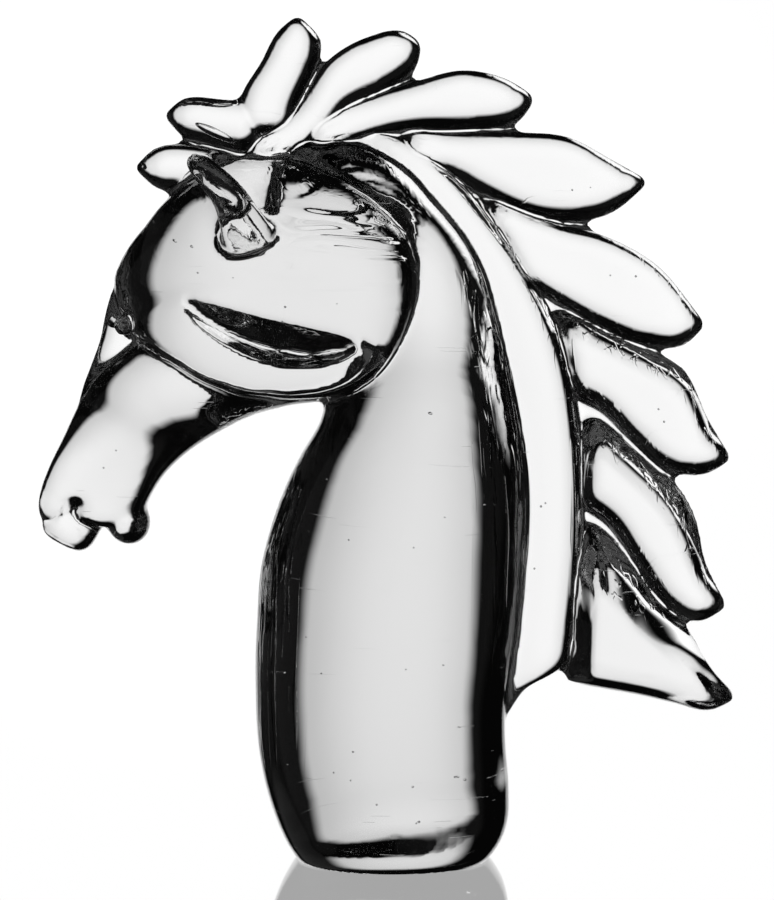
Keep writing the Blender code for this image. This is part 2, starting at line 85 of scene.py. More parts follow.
# Face: upper line, jaw line, half depth, and the rolls of the nose and the jaw, from inside the
# skull to the lips
FACE = (
    ((-60.0, 214.0), (-20.0, 192.0), 8.0, 2.1, 2.1),
    ((-70.0, 204.0), (-18.0, 174.0), 15.0, 2.1, 2.1),
    ((-78.0, 193.0), (-21.0, 161.0), 20.5, 2.0, 2.1),
    ((-84.0, 184.0), (-33.0, 158.6), 25.5, 2.0, 2.3),
    ((-92.0, 176.0), (-46.0, 155.2), 26.5, 2.0, 2.3),
    ((-101.0, 168.0), (-58.0, 149.3), 24.5, 2.1, 2.0),
    ((-107.2, 157.5), (-68.8, 142.4), 21.0, 2.0, 2.3),
    ((-112.0, 147.0), (-76.6, 135.0), 18.5, 2.8, 3.4),
    ((-116.4, 137.5), (-81.2, 128.0), 16.5, 4.5, 4.5),
    ((-119.3, 129.5), (-83.9, 122.6), 15.0, 5.0, 4.5),
    ((-120.2, 124.0), (-86.2, 119.0), 14.0, 5.0, 4.5),
    ((-119.6, 120.5), (-88.5, 117.2), 13.0, 4.5, 4.0),
    ((-117.0, 118.8), (-92.0, 116.8), 11.5, 4.0, 4.0),
)

# Nose bridge: the narrow keel between the eyes, outer line, inner line, half depth
BRIDGE = (
    ((-86.0, 210.0), (-74.0, 204.0), 4.0),
    ((-94.6, 198.5), (-78.0, 193.0), 5.0),
    ((-97.2, 190.0), (-80.0, 184.5), 8.0),
    ((-98.8, 182.0), (-84.0, 178.0), 8.0),
    ((-101.8, 173.5), (-90.0, 170.0), 7.0),
    ((-105.2, 164.5), (-97.0, 162.0), 5.0),
    ((-107.0, 158.0), (-101.0, 157.0), 3.0),
)
BRIDGE_ROLL = (2.6, 2.6)

# Cheek disc, seen from the side: degrees round the rim, reach from the centre, squareness
CHEEK_CENTRE = (-38.0, 203.0)
CHEEK_HALF_DEPTH = 33.0
RIM_BLEND = 17                # points of the rim over which its squareness is evened out
CHEEK_RIM = (
    (-180, 56.0, 2.2), (-170, 56.0, 2.2), (-155, 51.6, 3.2), (-139, 45.2, 8.0), (-116, 41.2, 13.0),
    (-93, 40.6, 13.0), (-76, 42.5, 12.0), (-60, 45.6, 9.5), (-41, 48.8, 7.0), (-22, 49.0, 5.4),
    (-8, 49.4, 4.6), (13, 48.6, 3.8), (30, 47.0, 2.8), (63, 41.8, 2.2), (90, 41.0, 2.1),
    (107, 42.0, 2.1), (125, 43.6, 2.4), (144, 45.8, 2.9), (159, 48.2, 2.8), (170, 52.4, 2.4),
    (180, 56.0, 2.2),
)

# Crest: inner edge, outer edge, half depth, from the poll down to the foot of the mane
CREST = (
    ((-14.0, 249.5), (-12.0, 253.5), 4.0),
    ((-1.0, 244.5), (2.0, 250.0), 8.0),
    ((9.0, 234.5), (14.5, 243.0), 10.0),
    ((15.0, 226.6), (24.3, 234.6), 11.0),
    ((21.0, 216.8), (33.6, 223.6), 12.0),
    ((27.6, 203.0), (43.6, 210.4), 12.5),
    ((32.2, 188.9), (51.6, 197.0), 13.0),
    ((36.4, 169.8), (60.4, 176.0), 13.5),
    ((38.6, 151.4), (64.6, 155.6), 14.0),
    ((39.0, 130.2), (66.4, 131.0), 14.0),
    ((37.6, 109.5), (66.2, 107.3), 14.0),
    ((35.0, 89.0), (64.2, 83.5), 14.0),
    ((34.5, 74.0), (62.0, 69.5), 13.0),
    ((36.0, 62.5), (57.0, 65.5), 11.5),
    ((36.0, 53.0), (49.0, 61.5), 9.0),
    ((36.0, 45.0), (41.5, 50.5), 4.0),
)
CREST_ROLL = (4.5, 3.2)

# Locks of the mane: upper edge and lower edge, each from the root out to the tip
LOCKS = {
    "forelock_low": (((-46, 243.5), (-64, 247.8), (-79.5, 247.2), (-87.2, 240.2)),
                     ((-46, 229), (-66, 231.5), (-79, 233), (-87.2, 240.2))),
    "forelock_high": (((-41, 262.5), (-56, 263.8), (-70, 264), (-77, 258.2)),
                      ((-38, 244), (-56, 245.6), (-70, 250.6), (-77, 258.2))),
    "poll_left": (((-51.5, 247), (-49.8, 266), (-43.6, 276), (-37.5, 287), (-30.4, 292.8)),
                  ((-33, 247), (-29.5, 262), (-24.6, 273), (-22.3, 283), (-30.4, 292.8))),
    "poll_right": (((-52, 243), (-31, 260.5), (-20, 277.5), (-6, 285.4), (5, 287.4), (12.4, 282.8)),
                   ((-49, 240), (-26, 249), (-11, 260.5), (1, 266.6), (9.4, 273), (12.4, 282.8))),
    "crown": (((-33, 250), (-10, 263), (10, 270), (26, 273.8), (41, 270.8), (51.6, 264.2)),
              ((-29, 246), (-8, 251), (13, 252), (32, 252.6), (44.5, 255.2), (51.6, 264.2))),
    "nape_1": (((-2, 252.5), (18, 252.4), (44, 252.6), (62, 251), (78, 242.8), (90.8, 235.6)),
               ((5, 247.5), (20, 239), (34, 230), (54, 221.8), (77, 224.4), (90.8, 235.6))),
    "nape_2": (((26, 233.5), (45, 226), (58, 221.4), (75, 217), (91, 208.6), (110.4, 186.4)),
               ((46, 202.5), (60, 193.8), (74, 185.2), (88, 179.4), (102, 178.8), (110.4, 186.4))),
    "nape_3": (((53, 196), (74, 186), (89, 179), (102, 171.8), (111.2, 154), (119.6, 139.8)),
               ((60, 163.5), (74, 158), (85, 146.4), (96, 136.4), (109, 134.2), (119.6, 139.8))),
    "nape_4": (((66, 161), (84, 147.4), (97, 136), (106.8, 121), (110.8, 104), (118.4, 88.6)),
               ((63, 127), (77, 118), (86, 104.4), (97, 89.2), (107.5, 83.2), (118.4, 88.6))),
    "foot": (((63, 126), (80, 113), (92, 97), (105, 80.6), (113, 67), (121.8, 57.2)),
             ((62, 62.5), (75, 60.2), (87, 58), (99, 55.2), (112, 52.4), (121.8, 57.2))),
}
LOCK_HALF_DEPTH = 10.0
LOCK_THINNING = 0.2
LOCK_RAMP = 9.0
LOCK_UPPER_RIM = (7.0, 2.0)
LOCK_LOWER_RIM = (9.0, 2.0)
# Thick locks whose upper rim is a wide slant: width and roundness of the rim, and half depth
SLANTED = {"nape_3": (10.5, 1.3, 12.0), "nape_4": (15.0, 1.15, 13.5), "foot": (23.0, 1.05, 19.5)}

# Web: the thin sheet that carries the locks, from the crest side to the outer side
WEB = (
    ((-70, 239), (-66, 249)),
    ((-58, 236), (-52, 254)),
    ((-45, 238), (-42, 262)),
    ((-25, 238), (-22, 270)),
    ((0, 238), (8, 267)),
    ((20, 228), (43, 251)),
    ((38, 206), (71, 218.5)),
    ((52, 176), (94.5, 177)),
    ((58, 150), (99.5, 134.5)),
    ((60, 120), (102.5, 85)),
    ((58, 90), (100, 66)),
    ((56, 68), (76, 60)),
)
WEB_HALF_DEPTH = 2.2
WEB_ROLL = (4.0, 4.0)

# Beads of glass: (centre x, distance from the middle, z), three radii, tilt in degrees
BROW = ((-86.0, 12.0, 197.0), (4.5, 6.0, 8.0), 20.0)
EYE = ((-89.3, 18.0, 186.6), (3.6, 4.0, 3.6), 0.0)
LOWER_LIP = ((-89.6, 0.0, 118.6), (7.6, 14.0, 8.4), -20.0)

# Upper lip: a squared block, given as centre, half length, half depth, half height and tilt
UPPER_LIP = ((-108.8, 118.0), (9.8, 12.5, 8.4), 28.0)
UPPER_LIP_ROLL = 3.2

# Ear: a pulled point, given as centre (x, distance from the middle, z), width and depth
EAR = (
    ((-45.5, 22.0, 213.0), 8.5, 6.0),
    ((-46.5, 31.0, 217.0), 8.5, 6.0),
    ((-48.5, 37.0, 223.5), 7.0, 5.6),
    ((-53.0, 40.5, 230.5), 5.4, 4.8),
    ((-58.5, 43.0, 236.0), 4.6, 4.2),
    ((-62.5, 44.5, 240.0), 4.0, 3.8),
    ((-65.5, 45.5, 242.5), 1.8, 1.8),
)

EAR_FOLD = 0.16           # depth of the folds along the ear, as a share of its width
EAR_TWIST = 7.0           # turn of the folds from root to tip, in radians

# Pressed hollow in each cheek: a curved groove with steep walls, deepest at one place. It runs
# from the left tip to the right one, and its middle line falls and rises again between them.
HOLLOW_TIPS = (-69.0, -10.0)  # x of the two tips
HOLLOW_TOP = 194.8            # height of the middle line at the left tip
HOLLOW_FALL = (-36.5, 22.0)   # how far that line falls over the length, and rises again
HOLLOW_HALF = 7.3             # half width
HOLLOW_WALL = 2.2             # depth of the crease for each unit of half width
HOLLOW_CREASE = -0.55         # where the crease runs, from -1 at the lower edge to 1 at the upper
HOLLOW_DEEPEST = 0.63         # share of the length at which it is deepest
HOLLOW_EXTRA = 5.0            # how much deeper it is there
HOLLOW_SHORTER = 0.14         # share of the length that the hollow of the +Y cheek lacks at its left
HOLLOW_RIPPLE = (0.5, 6)      # depth and number of the waves along its floor
HOLLOW_STEPS = (0.012, 4)     # depth, as a share of the floor's, and number of the steps up its walls

# Smaller marks pressed beside the mouth: centre, half length and half width, tilt in degrees, depth
NOSTRIL = ((-107.6, 123.6), (5.4, 4.6), 40.0, 5.0)
MOUTH_CREASE = ((-104.0, 118.0), (11.0, 2.6), -27.0, 3.2)

# How far the foot is ground back
GRINDING = 1.6

# Pinhead bubbles: the low and high corners of the block of glass they lie in, and how many
SEED_PATTERN = 11
SEEDS = (
    ((-28.0, -26.0, 12.0), (26.0, 26.0, 120.0), 22),
    ((-18.0, -20.0, 120.0), (30.0, 20.0, 160.0), 6),
    ((-70.0, -18.0, 190.0), (-12.0, 18.0, 222.0), 8),
    ((-100.0, -9.0, 134.0), (-90.0, 9.0, 146.0), 2),
    ((46.0, -8.0, 80.0), (60.0, 8.0, 150.0), 3),
    ((50.0, -4.0, 228.0), (70.0, 4.0, 240.0), 2),
    ((74.0, -4.0, 190.0), (92.0, 4.0, 205.0), 2),
    ((92.0, -4.0, 146.0), (102.0, 4.0, 160.0), 2),
)
# The needle bubble in the upper forelock: centre, three radii and tilt
NEEDLE = ((-58.5, 0.0, 251.6), (7.4, 1.3, 1.1), 21.0)

# Depths of the fine relief that hot working and handling leave on the skin
CHEST_STREAKS = 0.6 * MM
NAPE_STREAKS = 0.35 * MM
SEAM_STREAKS = 0.4 * MM
CROWN_SWIRLS = 0.2 * MM
CHEEK_FOLDS = 1.1 * MM
COMBED_FOLDS = 1.8 * MM
SCRATCHES = 0.02 * MM
# Grain of that relief, and of the bubbles' dullness: how many waves to a metre along X, Y and Z
STRAND_GRAIN = (330, 300, 14)
SWIRL_GRAIN = (110, 110, 110)
THREAD_GRAIN = (24, 20, 120)
SCRATCH_GRAIN = (70, 60, 1400)
DULLNESS_GRAIN = (900, 900, 900)
GRAIN_LEAN = 7.0          # degrees of turn after the stretch, so that the threads run slightly askew

# Where each kind of relief lies, in metres. It fades in between the first two numbers and, where there
# are four, out again between the last two.
CHEST_X = ((-0.06, -0.055), (-0.036, -0.026))
CHEST_Z = ((0.03, 0.06), (0.15, 0.16))
NAPE_X = (0.024, 0.03)
NAPE_Z = ((0.08, 0.11), (0.2, 0.21))
SEAM_X = ((-0.008, -0.004), (-0.002, 0.0))    # measured from the inner edge of the crest
SEAM_Z = ((0.13, 0.15), (0.2, 0.205))
CROWN_Z = (0.16, 0.19)
# Inner edge of the crest: its furthest x, the height there, and how it bends away
CREST_LINE = (0.039, 0.13, 1.94)
# Slanting patches of folds: middle x, the height of its line at x = 0, the slope of the line, and
# where the patch fades along it and across it
FOLD_PATCH = (-0.022, 0.201, -0.2, (0.02, 0.04), (0.005, 0.014))
COMBED_PATCH = (-0.014, 0.21, -0.25, (0.012, 0.024), (0.004, 0.011))

# The glass: how strongly light bends in it, and its faint grey, as a tint and how fast it deepens
BENDING = 1.5
GREY = (0.9, 0.9, 0.9, 1)
GREY_DENSITY = 38.0

# Bright fields of the studio, in degrees: middle and half width round about from +Y, lowest and
# highest, and how soft the edge is. The back field has a brighter middle.
BACK_FIELD = (1.2, 25.5, -31, 18, 0.14)
BACK_MIDDLE = (-3, 17, -24, 16, 0.9)
FIELD_GLOW = (0.4, 0.7)   # brightness that the middle adds, and that of the rest
SIDE_FIELDS = (
    ((-53, 33, -66, -17, 0.12), 1.3),
    ((-97, 25, -34, 27, 0.2), 1.0),
    ((135, 46, -60, 40, 0.2), 1.3),
)
STRAY = 0.07              # share of a side field that light bounced about in the glass still finds
DARKNESS = 0.002

# The table, and the camera, in metres: it looks along +Y and down a little, at the middle of the glass
TABLE_GLOSS = 0.62
CAMERA_BACK = 1.1
CAMERA_HEIGHT = 0.215
AIM_HEIGHT = 0.143
VIEW_WIDTH = 0.2678       # what the camera takes in from side to side, at the glass


# ---- shapes

def smooth_rows(rows, count):
    """Rows of numbers spread evenly along a smooth curve through the rows given."""
    rows = np.array(rows, dtype=float)
    gaps = np.linalg.norm(np.diff(rows, axis=0), axis=1)
    at = np.concatenate(([0.0], np.cumsum(gaps)))
    slope = np.gradient(rows, at, axis=0)
    where = np.linspace(0.0, at[-1], count)
    seg = np.clip(np.searchsorted(at, where, side="right") - 1, 0, len(at) - 2)
    wide = (at[seg + 1] - at[seg])[:, None]
    t = ((where - at[seg])[:, None]) / wide
    start, end = rows[seg], rows[seg + 1]
    lift = (2 * t**3 - 3 * t**2 + 1) * start + (3 * t**2 - 2 * t**3) * end
    lean = (t**3 - 2 * t**2 + t) * slope[seg] + (t**3 - t**2) * slope[seg + 1]
    return lift + wide * lean


def ring(centre, across, deep, first_roll=2.0, last_roll=2.0, points=RING_POINTS):
    """Places round one section: an oval when both rolls are 2, and boxier as they grow."""
    turn = np.linspace(0.0, 2 * math.pi, points, endpoint=False)
    c, s = np.cos(turn), np.sin(turn)
    roll = np.where(c > 0, last_roll, first_roll)
    wide = np.copysign(abs(c) ** (2 / roll), c)
    high = np.copysign(abs(s) ** (2 / roll), s)
    return (np.array(centre) + np.outer(wide, across) + np.outer(high, deep)) * MM


def drawn(name, rings):
    """A solid pulled out of a disc: the end is extruded, and set to the next ring, time after time."""
    bpy.ops.object.select_all(action="DESELECT")
    bpy.ops.mesh.primitive_circle_add(vertices=len(rings[0]), radius=MM, fill_type="NGON")
    made = bpy.context.object
    made.name = name
    bpy.ops.object.mode_set(mode="EDIT")
    skin = bmesh.from_edit_mesh(made.data)
    place = skin.verts.layers.int.new("place")
    for vert in skin.verts:
        vert[place] = vert.index
    for n, points in enumerate(rings):
        if n:
            bpy.ops.mesh.extrude_region_move()
        skin = bmesh.from_edit_mesh(made.data)
        place = skin.verts.layers.int["place"]
        for vert in skin.verts:
            if vert.select:
                vert.co = points[vert[place]]
        bmesh.update_edit_mesh(made.data)
    bpy.ops.mesh.select_all(action="SELECT")
    bpy.ops.mesh.normals_make_consistent(inside=False)
    bpy.ops.object.mode_set(mode="OBJECT")
    return made


def between_edges(name, rows, count, rolls=()):
    """A form whose sections run from one edge line in the middle plane to the other."""
    flat = [(*a, *b, *rest, *rolls) for a, b, *rest in rows]
    rings = []
    for ax, az, bx, bz, deep, first_roll, last_roll in smooth_rows(flat, count):
        centre = ((ax + bx) / 2, 0, (az + bz) / 2)
        across = ((bx - ax) / 2, 0, (bz - az) / 2)
        rings.append(ring(centre, across, (0, deep, 0), first_roll, last_roll))
    return drawn(name, rings)


def rim(width, half, deep, roundness):
    """Quarter of a flat section: across and out, from the edge up the rim to the middle."""
    width = min(width, half)
    climb = np.linspace(0, 1, 12, endpoint=False) ** 1.3
    out = (1 - (1 - climb) ** roundness) ** (1 / roundness)
    flat = np.linspace(width, half, 4, endpoint=False)
    across = half - np.concatenate((climb * width, flat))
    return across, deep * np.concatenate((out, np.ones(4)))


def flat_ring(centre, across, deep, upper_rim, lower_rim):
    """Places round a flat section with rolled edges. Each rim has a width and a roundness."""
    half = float(np.linalg.norm(across))
    unit = np.array(across) / max(half, 1e-6)
    x1, y1 = rim(lower_rim[0], half, deep, lower_rim[1])
    x2, y2 = rim(upper_rim[0], half, deep, upper_rim[1])
    wide = np.concatenate((x1, -np.append(x2, 0)[:0:-1], -x2, np.append(x1, 0)[:0:-1]))
    high = np.concatenate((y1, np.append(y2, deep)[:0:-1], -y2, -np.append(y1, deep)[:0:-1]))
    return (np.array(centre) + np.outer(wide, unit) + np.outer(high, (0, 1, 0))) * MM


def lock(name, upper, lower):
    """One lock of the mane: a flat paddle with rolled edges that thins to a round tip."""
    count = 40
    top = smooth_rows(upper, count)
    low = smooth_rows(lower, count)
    middle = (top + low) / 2
    run = np.concatenate(([0], np.cumsum(np.linalg.norm(np.diff(middle, axis=0), axis=1))))
    *upper_rim, half_depth = SLANTED.get(name, (*LOCK_UPPER_RIM, LOCK_HALF_DEPTH))
    rings = []
    for n in range(count - 1):
        t = n / (count - 1)
        swell = min(run[n] / LOCK_RAMP, 1)
        deep = half_depth * (0.1 + 0.9 * swell) * (1 - LOCK_THINNING * t) * math.sqrt(1 - t**7)
        centre = (middle[n][0], 0, middle[n][1])
        across = ((low[n][0] - top[n][0]) / 2, 0, (low[n][1] - top[n][1]) / 2)
        rings.append(flat_ring(centre, across, deep, upper_rim, LOCK_LOWER_RIM))
    return drawn(name, rings)


def cheek_disc():
    """The flat egg-shaped jowl, with a rolled rim all round."""
    turns = np.linspace(-180, 180, 2 * RING_POINTS, endpoint=False)
    angles, reaches, rolls = zip(*CHEEK_RIM)
    reach = np.interp(turns, angles, reaches)
    roll = np.interp(turns, angles, rolls)
    blend = np.hanning(RIM_BLEND) / np.hanning(RIM_BLEND).sum()
    roll = np.convolve(np.tile(roll, 3), blend, "same")[len(turns):-len(turns)]
    rings = []
    layers = 40
    for layer in range(1, layers):
        lean = math.pi * (layer / layers - 0.5)
        size = reach * math.cos(lean) ** (2 / roll)
        out = math.copysign(1, lean) * abs(math.sin(lean)) ** (2 / roll) * CHEEK_HALF_DEPTH
        x = CHEEK_CENTRE[0] + size * np.cos(np.radians(turns))
        z = CHEEK_CENTRE[1] + size * np.sin(np.radians(turns))
        rings.append(np.stack((x, out, z), axis=1) * MM)
    return drawn("cheek_disc", rings)


def bead(name, shape, side):
    """A rounded bead of glass with three radii, tilted in the side view."""
    (x, out, z), radii, tilt = shape
    place = Vector((x, side * out, z)) * MM
    bpy.ops.object.select_all(action="DESELECT")
    bpy.ops.mesh.primitive_uv_sphere_add(segments=32, ring_count=20, radius=1.0, location=place,
                                         rotation=(0, math.radians(tilt), 0),
                                         scale=[r * MM for r in radii])
    made = bpy.context.object
    made.name = name
    bpy.ops.object.transform_apply(location=True, rotation=True, scale=True)
    return made


def lip_block():
    """The squared block of the upper lip, drawn through the thickness."""
    (x, z), (long, deep, high), tilt = UPPER_LIP
    lean = math.radians(tilt)
    rings = []
    for out in np.sin(np.linspace(-1.5, 1.5, 24)):
        size = (1 - abs(out) ** UPPER_LIP_ROLL) ** (1 / UPPER_LIP_ROLL)
        across = size * long * np.array((math.cos(lean), 0, -math.sin(lean)))
        up = size * high * np.array((math.sin(lean), 0, math.cos(lean)))
        rings.append(ring((x, out * deep, z), across, up, UPPER_LIP_ROLL, UPPER_LIP_ROLL))
    return drawn("upper_lip", rings)


def ear(side):
    """A horn-like ear pulled out and forward from the poll, twisted while it was hot."""
    flat = [(x, side * out, z, wide, deep) for (x, out, z), wide, deep in EAR]
    rows = smooth_rows(flat, 36)
    path = np.gradient(rows[:, :3], axis=0)
    rings = []
    turn = np.linspace(0.0, 2 * math.pi, RING_POINTS, endpoint=False)
    for n, (row, way) in enumerate(zip(rows, path)):
        along = Vector(way).normalized()
        deep = along.cross(Vector((1, 0, 0.3)).normalized()).normalized()
        across = deep.cross(along).normalized()
        points = ring(row[:3], across * row[3], deep * row[4])
        fold = 1 + EAR_FOLD * min(n / 12, 1) * np.cos(3 * turn - side * EAR_TWIST * n / len(rows))
        middle = points.mean(axis=0)
        rings.append(middle + (points - middle) * fold[:, None])
    return drawn("ear", rings)


def melted(name, parts, voxel, rounds):
    """The parts joined under one even skin and softened."""
    bpy.ops.object.select_all(action="DESELECT")
    for part in parts:
        part.select_set(True)
    made = parts[0]
    bpy.context.view_layer.objects.active = made
    bpy.ops.object.join()
    made.name = name
    skin = made.modifiers.new("Skin", "REMESH")
    skin.mode = "VOXEL"
    skin.voxel_size = voxel
    bpy.ops.object.modifier_apply(modifier="Skin")
    soft = made.modifiers.new("Soften", "SMOOTH")
    soft.factor = 0.5
    soft.iterations = rounds
    bpy.ops.object.modifier_apply(modifier="Soften")
    return made


def read_points(made):
    points = np.empty(len(made.data.vertices) * 3)
    made.data.vertices.foreach_get("co", points)
    return points.reshape(-1, 3)


def write_points(made, points):
    made.data.vertices.foreach_set("co", points.ravel())
    made.data.update()


def waves(shape, share):
    """Even waves of a given depth, so many of them from 0 to 1."""
    depth, number = shape
    return depth * np.sin(2 * math.pi * number * share)


def press_cheeks(made):
    """Sink a long curved groove with faintly stepped walls into each cheek."""
    points = read_points(made)
    left, right = HOLLOW_TIPS
    t = np.clip((points[:, 0] / MM - left) / (right - left), 0.0, 1.0)
    middle = HOLLOW_TOP + HOLLOW_FALL[0] * t + HOLLOW_FALL[1] * t**2
    start = np.where(points[:, 1] > 0, HOLLOW_SHORTER, 0.0)
    half = HOLLOW_HALF * np.sqrt(4 * np.clip(t - start, 0.0, 1.0) * (1 - t))
    up = (points[:, 2] / MM - middle) / np.maximum(half, 1e-6)
    wall = np.clip(np.minimum((1 - up) / (1 - HOLLOW_CREASE), (1 + up) / (1 + HOLLOW_CREASE)), 0.0, 1.0)
    tent = np.minimum(t / HOLLOW_DEEPEST, (1 - t) / (1 - HOLLOW_DEEPEST))
    floor = HOLLOW_WALL * half + HOLLOW_EXTRA * tent
    floor = floor + waves(HOLLOW_RIPPLE, t) * tent
    sink = floor * (wall + waves(HOLLOW_STEPS, wall)) * MM
    points[:, 1] -= np.sign(points[:, 1]) * sink * (abs(points[:, 1]) > 10 * MM)
    for centre, half, tilt, depth in (NOSTRIL, MOUTH_CREASE):
        lean = math.radians(tilt)
        dx = points[:, 0] / MM - centre[0]
        dz = points[:, 2] / MM - centre[1]
        along = (dx * math.cos(lean) + dz * math.sin(lean)) / half[0]
        up = (dz * math.cos(lean) - dx * math.sin(lean)) / half[1]
        pit = np.clip(1 - np.hypot(along, up), 0.0, 1.0) * depth * MM
        points[:, 1] -= np.sign(points[:, 1]) * pit * (abs(points[:, 1]) > 6 * MM)
    write_points(made, points)


def ground_flat(made):
    """Grind the foot back level, and set it down on the table."""
    bpy.ops.object.select_all(action="DESELECT")
    made.select_set(True)
    bpy.context.view_layer.objects.active = made
    level = GRINDING * MM
    bpy.ops.object.mode_set(mode="EDIT")
    bpy.ops.mesh.select_all(action="SELECT")
    bpy.ops.mesh.bisect(plane_co=(0, 0, level), plane_no=(0, 0, 1), use_fill=True, clear_inner=True,
                        threshold=0.001 * MM)
    bpy.ops.mesh.select_all(action="SELECT")
    bpy.ops.transform.translate(value=(0, 0, -level))
    bpy.ops.object.mode_set(mode="OBJECT")


def horse_head():
    """The whole sculpture as one skin of glass."""
    web = [(a, b, WEB_HALF_DEPTH) for a, b in WEB]
    forms = [
        between_edges("neck", NECK, 150),
        between_edges("face", FACE, 110),
        between_edges("bridge", BRIDGE, 70, BRIDGE_ROLL),
        cheek_disc(),
        lip_block(),
        bead("lower_lip", LOWER_LIP, 0),
        between_edges("crest", CREST, 160, CREST_ROLL),
        between_edges("web", web, 140, WEB_ROLL),
    ]
    for name, (upper, lower) in LOCKS.items():
        forms.append(lock(name, upper, lower))
    for side in SIDES:
        forms.append(bead("brow", BROW, side))
    body = melted("body", forms, FINE_VOXEL, SOFTENING)
    press_cheeks(body)
    added = [body]
    for side in SIDES:
        added.append(ear(side))
        added.append(bead("eye", EYE, side))
    made = melted("crystal_horse_head", added, VOXEL, LAST_SOFTENING)
    ground_flat(made)
    bpy.ops.object.shade_smooth_by_angle(angle=math.radians(50))
    return made


# ---- bubbles

def bubble(place, radii, tilt):
    """A round or drawn-out bubble, given in millimetres, tilted in the side view."""
    bpy.ops.object.select_all(action="DESELECT")
    bpy.ops.mesh.primitive_uv_sphere_add(segments=24, ring_count=12, radius=1.0,
                                         location=[v * MM for v in place],
                                         rotation=(0, math.radians(tilt), 0),
                                         scale=[r * MM for r in radii])
    made = bpy.context.object
    bpy.ops.object.transform_apply(location=True, rotation=True, scale=True)
    return made


def seeds():
    """Pinhead bubbles scattered through the neck, the cheek, the face and the locks."""
    chance = np.random.default_rng(SEED_PATTERN)
    made = []
    for low, high, count in SEEDS:
        for place in chance.uniform(low, high, (count, 3)):
            size = chance.uniform(0.22, 0.42)
            made.append(bubble(place, (size, size, size), 0.0))
    made.append(bubble(*NEEDLE))
    bpy.ops.object.select_all(action="DESELECT")
    for one in made:
        one.select_set(True)
    bpy.context.view_layer.objects.active = made[0]
    bpy.ops.object.join()
    made[0].name = "trapped_bubbles"
    bpy.ops.object.shade_smooth()
    return made[0]


# ---- finishes

class Value:
    """A number that changes over a surface, written with plain signs."""

    def __init__(self, tree, socket):
        self.tree = tree
        self.socket = socket

    def maths(self, operation, *others):
        return node(self.tree, "ShaderNodeMath", {"operation": operation}, (self, *others))

    def __add__(self, other):
        return self.maths("ADD", other)

    def __sub__(self, other):
        return self.maths("SUBTRACT", other)

    def __mul__(self, other):
        return self.maths("MULTIPLY", other)

    def __truediv__(self, other):
        return self.maths("DIVIDE", other)

    def __rsub__(self, other):
        return self.maths("MULTIPLY", -1.0) + other

    __radd__ = __add__
    __rmul__ = __mul__

    def __abs__(self):
        return self.maths("ABSOLUTE")

    def highest(self, other):
        return self.maths("MAXIMUM", other)

    def ramp(self, start, end, low=0.0, high=1.0):
        """Rises softly from low at start to high at end."""
        settings = {"interpolation_type": "SMOOTHSTEP"}
        return node(self.tree, "ShaderNodeMapRange", settings, (self, start, end, low, high))

    def within(self, rise, fall):
        """1 between a soft rise and a soft fall, each given by its start and end."""
        return self.ramp(*rise) * self.ramp(*fall, 1, 0)


def node(tree, kind, settings=None, sockets=(), output=0):
    """A node of that type, with its settings and the values or links of its sockets."""
    made = tree.nodes.new(kind)
    for name, value in (settings or {}).items():
        setattr(made, name, value)
    pairs = sockets.items() if isinstance(sockets, dict) else enumerate(sockets)
    for name, value in pairs:
        if isinstance(value, Value):
            tree.links.new(value.socket, made.inputs[name])
        else:
            made.inputs[name].default_value = value
    return Value(tree, made.outputs[output]) if made.outputs else made


def axes(tree, vector):
    """The three numbers of a vector."""
    return [node(tree, "ShaderNodeSeparateXYZ", None, (vector,), n) for n in range(3)]


def patch(x, z, shape):
    """1 inside a slanting patch that fades out along and across."""
    middle, level, slope, along, across = shape
    near = abs(z - level - x * slope).ramp(*across, 1, 0)
    return near * abs(x - middle).ramp(*along, 1, 0)


def crystal_shader(name):
    """Plain clear crystal, and the tree it is in."""
    glass = bpy.data.materials.new(name)
    glass.use_nodes = True
    tree = glass.node_tree
    shader = tree.nodes["Principled BSDF"]
    shader.inputs["Base Color"].default_value = (1, 1, 1, 1)
    shader.inputs["Roughness"].default_value = 0.0
    shader.inputs["IOR"].default_value = BENDING
    shader.inputs["Transmission Weight"].default_value = 1.0
    return glass, tree, shader


def cords(tree, place, grain, detail, distortion):
    """Fine wavy threads, given how many there are to a metre along X, Y and Z."""
    lean = (0, math.radians(GRAIN_LEAN), 0)
    spread = node(tree, "ShaderNodeMapping", None, {"Vector": place, "Rotation": lean, "Scale": grain})
    sockets = {"Vector": spread, "Scale": 1.0, "Detail": detail, "Distortion": distortion}
    return node(tree, "ShaderNodeTexNoise", None, sockets)


